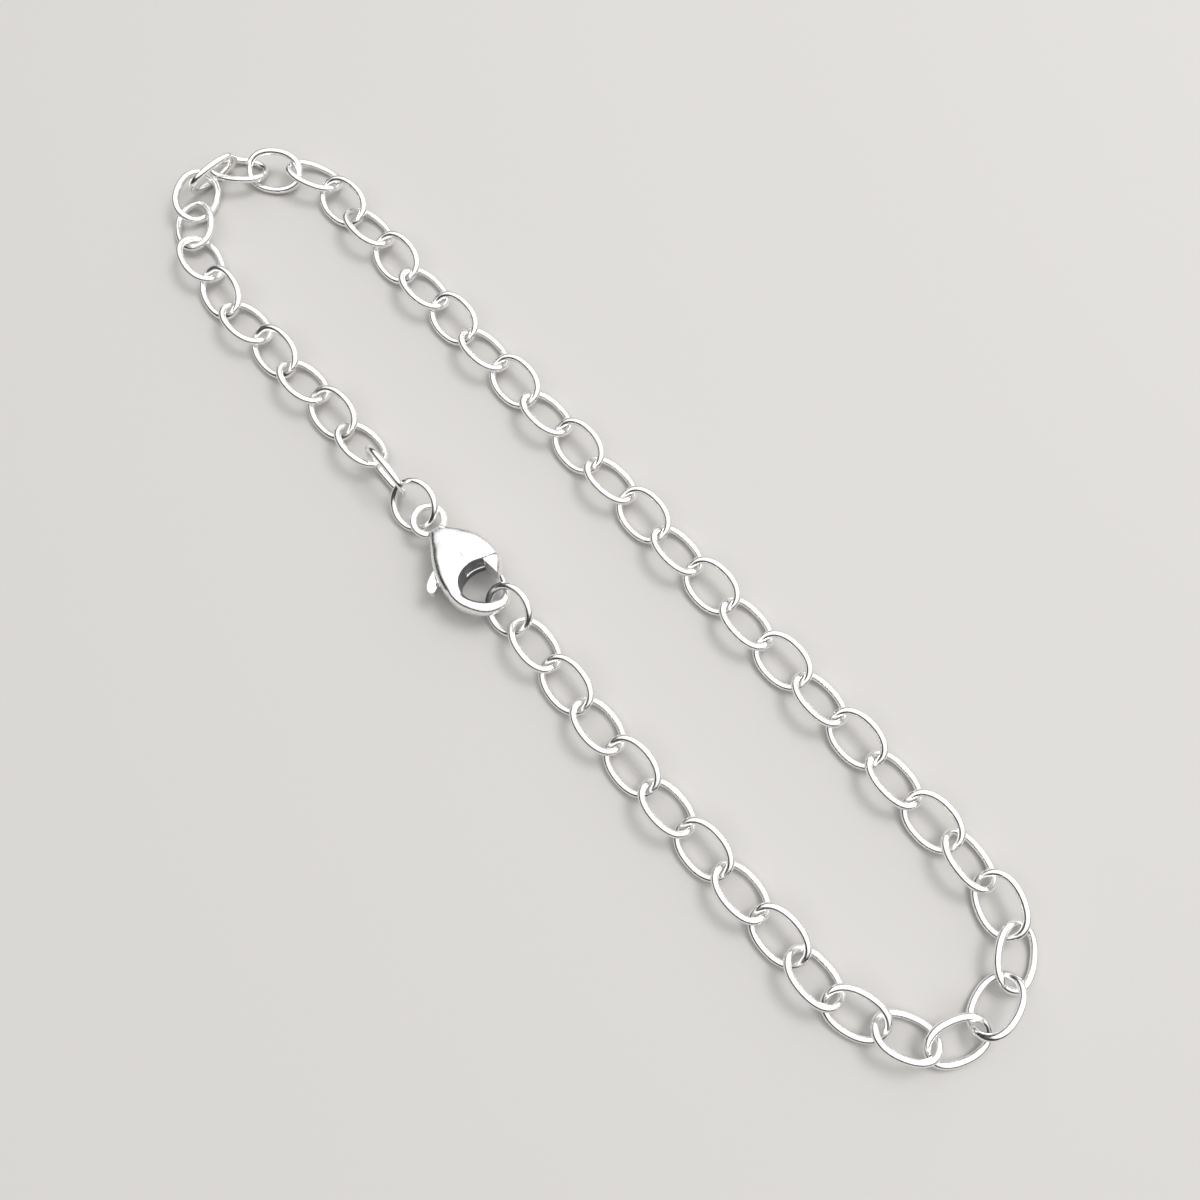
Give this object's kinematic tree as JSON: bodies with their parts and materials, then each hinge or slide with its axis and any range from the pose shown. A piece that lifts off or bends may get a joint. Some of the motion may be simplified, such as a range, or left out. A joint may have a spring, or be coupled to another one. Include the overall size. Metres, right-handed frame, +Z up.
{
  "type": "oval-link chain bracelet with lobster clasp",
  "caption": "Fine silver bracelet chain of round-wire oval links, closed into a loop by a sprung lobster clasp on jump rings, laid down flat",
  "frame": {"origin": "bottom centre of the laid-down bracelet's bounding box, on the surface that it lies on", "axes": "+X along the loop's long side, towards the round bend; +Z up; the clasp lies on the -Y side with its nose towards +X"},
  "size_m": [0.0908, 0.02, 0.0036],
  "materials": {
    "chain_silver": "polished sterling silver wire with fine wear",
    "clasp_silver": "cast sterling silver, polished, with fine handling scratches",
    "rivet_silver": "riveted silver pin end, slightly duller than the cast faces"
  },
  "bodies": {
    "bracelet": {"link_01": "chain_silver", "link_02": "chain_silver", "link_03": "chain_silver", "link_04": "chain_silver", "link_05": "chain_silver", "link_06": "chain_silver", "link_07": "chain_silver", "link_08": "chain_silver", "link_09": "chain_silver", "link_10": "chain_silver", "link_11": "chain_silver", "link_12": "chain_silver", "link_13": "chain_silver", "link_14": "chain_silver", "link_15": "chain_silver", "link_16": "chain_silver", "link_17": "chain_silver", "link_18": "chain_silver", "link_19": "chain_silver", "link_20": "chain_silver", "link_21": "chain_silver", "link_22": "chain_silver", "link_23": "chain_silver", "link_24": "chain_silver", "link_25": "chain_silver", "link_26": "chain_silver", "link_27": "chain_silver", "link_28": "chain_silver", "link_29": "chain_silver", "link_30": "chain_silver", "link_31": "chain_silver", "link_32": "chain_silver", "link_33": "chain_silver", "link_34": "chain_silver", "link_35": "chain_silver", "link_36": "chain_silver", "link_37": "chain_silver", "link_38": "chain_silver", "link_39": "chain_silver", "link_40": "chain_silver", "link_41": "chain_silver", "link_42": "chain_silver", "link_43": "chain_silver", "link_44": "chain_silver", "link_45": "chain_silver", "link_46": "chain_silver", "link_47": "chain_silver", "link_48": "chain_silver", "link_49": "chain_silver", "clasp_body": "clasp_silver", "clasp_rivet": "rivet_silver", "tail_jump_ring": "chain_silver", "end_jump_ring": "chain_silver"},
    "lever": {"clasp_lever": "clasp_silver"}
  },
  "joints": [
    {"name": "clasp_lever_hinge", "type": "hinge", "parent": "bracelet", "child": "lever", "pos_m": [-0.00357, -0.00523, 0.00145], "axis": [0, 0, 1], "range_deg": [-20, 0], "stiffness_Nm_per_rad": 0.004, "springref_deg": 20.05}
  ]
}
